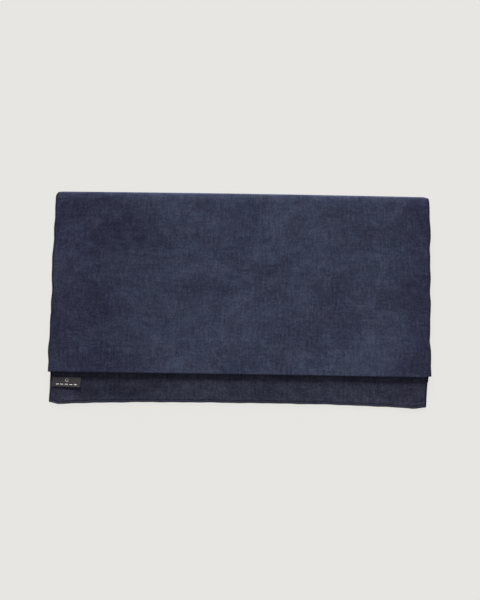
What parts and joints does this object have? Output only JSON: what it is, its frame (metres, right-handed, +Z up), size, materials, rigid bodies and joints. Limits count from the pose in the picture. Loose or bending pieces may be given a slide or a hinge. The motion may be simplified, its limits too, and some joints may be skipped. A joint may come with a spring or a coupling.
{
  "type": "folded travel towel",
  "caption": "Suede-faced microfibre travel towel folded in half twice, lying flat, with overlocked edges, a flap that opens and a woven side label that lifts.",
  "frame": {"origin": "centre of the folded towel's outline, on the surface that it lies on", "axes": "+X along the folds, away from the label; +Y from the label end towards the top fold; +Z up from the surface"},
  "size_m": [0.607, 0.3346, 0.0077],
  "materials": {
    "suede_cloth": "navy microfibre with a short suede nap",
    "edging_thread": "navy polyester overlock thread",
    "label_ribbon": "charcoal woven ribbon",
    "label_mark": "off-white woven thread"
  },
  "bodies": {
    "base": {"cloth_bottom_layer": "suede_cloth", "cloth_label_layer": "suede_cloth", "cloth_top_fold_outer_lower": "suede_cloth", "cloth_top_fold_inner_lower": "suede_cloth", "edging_left_bottom_layer": "edging_thread", "edging_right_bottom_layer": "edging_thread", "edging_end_bottom_layer": "edging_thread", "edging_left_label_layer": "edging_thread", "edging_right_label_layer": "edging_thread", "edging_end_label_layer": "edging_thread", "edging_left_top_fold_outer_lower": "edging_thread", "edging_right_top_fold_outer_lower": "edging_thread", "edging_left_top_fold_inner_lower": "edging_thread", "edging_right_top_fold_inner_lower": "edging_thread", "label_tail": "label_ribbon"},
    "flap": {"cloth_inner_layer": "suede_cloth", "cloth_front_layer": "suede_cloth", "cloth_front_fold": "suede_cloth", "cloth_top_fold_outer_upper": "suede_cloth", "cloth_top_fold_inner_upper": "suede_cloth", "edging_left_inner_layer": "edging_thread", "edging_right_inner_layer": "edging_thread", "edging_left_front_layer": "edging_thread", "edging_right_front_layer": "edging_thread", "edging_left_front_fold": "edging_thread", "edging_right_front_fold": "edging_thread", "edging_left_top_fold_outer_upper": "edging_thread", "edging_right_top_fold_outer_upper": "edging_thread", "edging_left_top_fold_inner_upper": "edging_thread", "edging_right_top_fold_inner_upper": "edging_thread"},
    "label": {"label_ribbon": "label_ribbon", "label_mark": "label_mark"}
  },
  "joints": [
    {"name": "flap_opening", "type": "hinge", "parent": "base", "child": "flap", "pos_m": [0, 0.16741, 0.00385], "axis": [-1, 0, 0], "range_deg": [0, 180]},
    {"name": "label_lift", "type": "hinge", "parent": "base", "child": "label", "pos_m": [-0.294, -0.13301, 0.00435], "axis": [0, -1, 0], "range_deg": [0, 170]}
  ]
}
